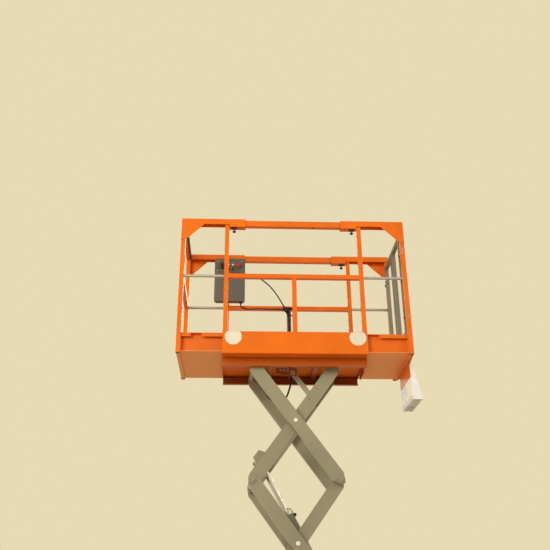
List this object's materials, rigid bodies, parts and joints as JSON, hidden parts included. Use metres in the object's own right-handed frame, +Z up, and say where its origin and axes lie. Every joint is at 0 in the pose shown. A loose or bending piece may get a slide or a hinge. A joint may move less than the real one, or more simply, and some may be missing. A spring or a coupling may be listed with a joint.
{
  "type": "scissor lift",
  "caption": "Compact electric scissor lift, raised, with a guard-railed platform whose two ends slide out, saloon entry gates and a hanging step.",
  "frame": {"origin": "centre of the bounding box at floor level", "axes": "+X along the machine towards its entry gate, +Y across it away from the viewer, +Z up"},
  "size_m": [1.844, 0.686, 3.1947],
  "materials": {
    "painted_orange": "satin powder coat",
    "painted_grey": "satin",
    "bright_steel": "bright",
    "aluminium": "satin",
    "dark": "matte",
    "tyre": "non-marking solid tyre",
    "rim": "satin",
    "floor": "tread plate"
  },
  "bodies": {
    "chassis": {"chassis_frame": "painted_grey", "cover_front": "painted_orange", "cover_rear": "painted_orange", "rear_stub_left": "dark", "rear_stub_right": "dark"},
    "wheel_fl": {"tyre_fl": "tyre", "rim_fl": "rim"},
    "wheel_fr": {"tyre_fr": "tyre", "rim_fr": "rim"},
    "wheel_rl": {"tyre_rl": "tyre", "rim_rl": "rim"},
    "wheel_rr": {"tyre_rr": "tyre", "rim_rr": "rim"},
    "knuckle_left": {"knuckle_left": "painted_grey"},
    "knuckle_right": {"knuckle_right": "painted_grey"},
    "tie_rod": {"tie_rod": "painted_grey"},
    "base_link": {"base_link": "aluminium"},
    "inner_arms_1": {"inner_arms_1": "painted_grey", "base_axle_inner": "bright_steel"},
    "outer_arms_1": {"outer_arms_1": "painted_grey", "base_axle_outer": "bright_steel"},
    "outer_arms_2": {"outer_arms_2": "painted_grey", "top_axle_outer": "bright_steel"},
    "inner_arms_2": {"inner_arms_2": "painted_grey", "top_axle_inner": "bright_steel"},
    "top_link": {"top_link": "aluminium"},
    "cylinder_barrel": {"cylinder_barrel": "dark"},
    "cylinder_rod": {"cylinder_rod": "bright_steel"},
    "platform": {"deck_frame": "painted_orange", "deck_floor": "floor", "toe_board_front": "painted_orange", "toe_board_rear": "painted_orange", "centre_rails_front": "painted_orange", "centre_rails_rear": "painted_orange", "control_box": "dark", "control_cable_1": "dark", "control_cable_2": "dark", "deck_hose": "dark"},
    "ext_left": {"ext_left_frame": "painted_orange", "ext_left_rails": "painted_orange"},
    "ext_right": {"ext_right_frame": "painted_orange", "ext_right_rails": "painted_orange", "end_plate": "painted_orange", "entry_step": "aluminium"},
    "gate_front": {"gate_front": "aluminium"},
    "gate_rear": {"gate_rear": "aluminium"}
  },
  "joints": [
    {"name": "lift", "type": "hinge", "parent": "chassis", "child": "base_link", "pos_m": [-0.036, 0, 0.33], "axis": [0, 1, 0], "range_deg": [-42.5, 8]},
    {"name": "inner_arms_1_turn", "type": "hinge", "parent": "base_link", "child": "inner_arms_1", "pos_m": [-0.19237, 0, 0.54209], "axis": [0, -1, 0], "range_deg": [-85.5, 16.5]},
    {"name": "outer_arms_1_turn", "type": "hinge", "parent": "inner_arms_1", "child": "outer_arms_1", "pos_m": [-0.036, 0, 0.75418], "axis": [0, -1, 0], "range_deg": [-16.5, 85.5]},
    {"name": "outer_arms_2_turn", "type": "hinge", "parent": "inner_arms_1", "child": "outer_arms_2", "pos_m": [0.27673, 0, 1.17836], "axis": [0, -1, 0], "range_deg": [-16.5, 85.5]},
    {"name": "inner_arms_2_turn", "type": "hinge", "parent": "outer_arms_2", "child": "inner_arms_2", "pos_m": [-0.036, 0, 1.60254], "axis": [0, -1, 0], "range_deg": [-85.5, 16.5]},
    {"name": "top_link_turn", "type": "hinge", "parent": "inner_arms_2", "child": "top_link", "pos_m": [0.12037, 0, 1.81463], "axis": [0, -1, 0], "range_deg": [-16.5, 85.5]},
    {"name": "platform_level", "type": "hinge", "parent": "top_link", "child": "platform", "pos_m": [-0.036, 0, 2.02672], "axis": [0, -1, 0], "range_deg": [-43, 8.5]},
    {"name": "barrel_turn", "type": "hinge", "parent": "outer_arms_1", "child": "cylinder_barrel", "pos_m": [0.19959, 0, 0.43464], "axis": [0, -1, 0], "range_deg": [-3.69, 1.1]},
    {"name": "rod_slide", "type": "slide", "parent": "cylinder_barrel", "child": "cylinder_rod", "axis": [-0.4728, 0, 0.8812], "range_m": [-0.2443, 0.0476]},
    {"name": "extension_left_slide", "type": "slide", "parent": "platform", "child": "ext_left", "axis": [1, 0, 0], "range_m": [0, 0.295]},
    {"name": "extension_right_slide", "type": "slide", "parent": "platform", "child": "ext_right", "axis": [-1, 0, 0], "range_m": [0, 0.295]},
    {"name": "gate_front_swing", "type": "hinge", "parent": "ext_right", "child": "gate_front", "pos_m": [0.826, -0.274, 2.69072], "axis": [0, 0, 1], "range_deg": [0, 90], "stiffness_Nm_per_rad": 1.5},
    {"name": "gate_rear_swing", "type": "hinge", "parent": "ext_right", "child": "gate_rear", "pos_m": [0.826, 0.274, 2.69072], "axis": [0, 0, -1], "range_deg": [0, 90], "stiffness_Nm_per_rad": 1.5},
    {"name": "steer", "type": "hinge", "parent": "chassis", "child": "knuckle_left", "pos_m": [-0.476, -0.215, 0.12], "axis": [0, 0, 1], "range_deg": [-30, 30]},
    {"name": "steer_right", "type": "hinge", "parent": "chassis", "child": "knuckle_right", "pos_m": [-0.476, 0.215, 0.12], "axis": [0, 0, 1], "range_deg": [-30.5, 30.5]},
    {"name": "tie_rod_turn", "type": "hinge", "parent": "knuckle_left", "child": "tie_rod", "pos_m": [-0.406, -0.215, 0.07], "axis": [0, 0, 1], "range_deg": [-30.5, 30.5]},
    {"name": "wheel_fl_spin", "type": "hinge", "parent": "knuckle_left", "child": "wheel_fl", "pos_m": [-0.476, -0.29, 0.12], "axis": [0, 1, 0], "continuous": true},
    {"name": "wheel_fr_spin", "type": "hinge", "parent": "knuckle_right", "child": "wheel_fr", "pos_m": [-0.476, 0.29, 0.12], "axis": [0, 1, 0], "continuous": true},
    {"name": "wheel_rl_spin", "type": "hinge", "parent": "chassis", "child": "wheel_rl", "pos_m": [0.404, -0.29, 0.12], "axis": [0, 1, 0], "continuous": true},
    {"name": "wheel_rr_spin", "type": "hinge", "parent": "chassis", "child": "wheel_rr", "pos_m": [0.404, 0.29, 0.12], "axis": [0, 1, 0], "continuous": true}
  ],
  "couplings": [
    {"joint": "inner_arms_1_turn", "follows": "lift", "ratio": 2},
    {"joint": "outer_arms_1_turn", "follows": "lift", "ratio": -2},
    {"joint": "outer_arms_2_turn", "follows": "lift", "ratio": -2},
    {"joint": "inner_arms_2_turn", "follows": "lift", "ratio": 2},
    {"joint": "top_link_turn", "follows": "lift", "ratio": -2},
    {"joint": "platform_level", "follows": "lift", "ratio": 1},
    {"joint": "barrel_turn", "follows": "lift", "ratio": 0.075},
    {"joint": "rod_slide", "follows": "lift", "m_per_rad": 0.32659},
    {"joint": "steer_right", "follows": "steer", "ratio": 1},
    {"joint": "tie_rod_turn", "follows": "steer", "ratio": -1}
  ]
}
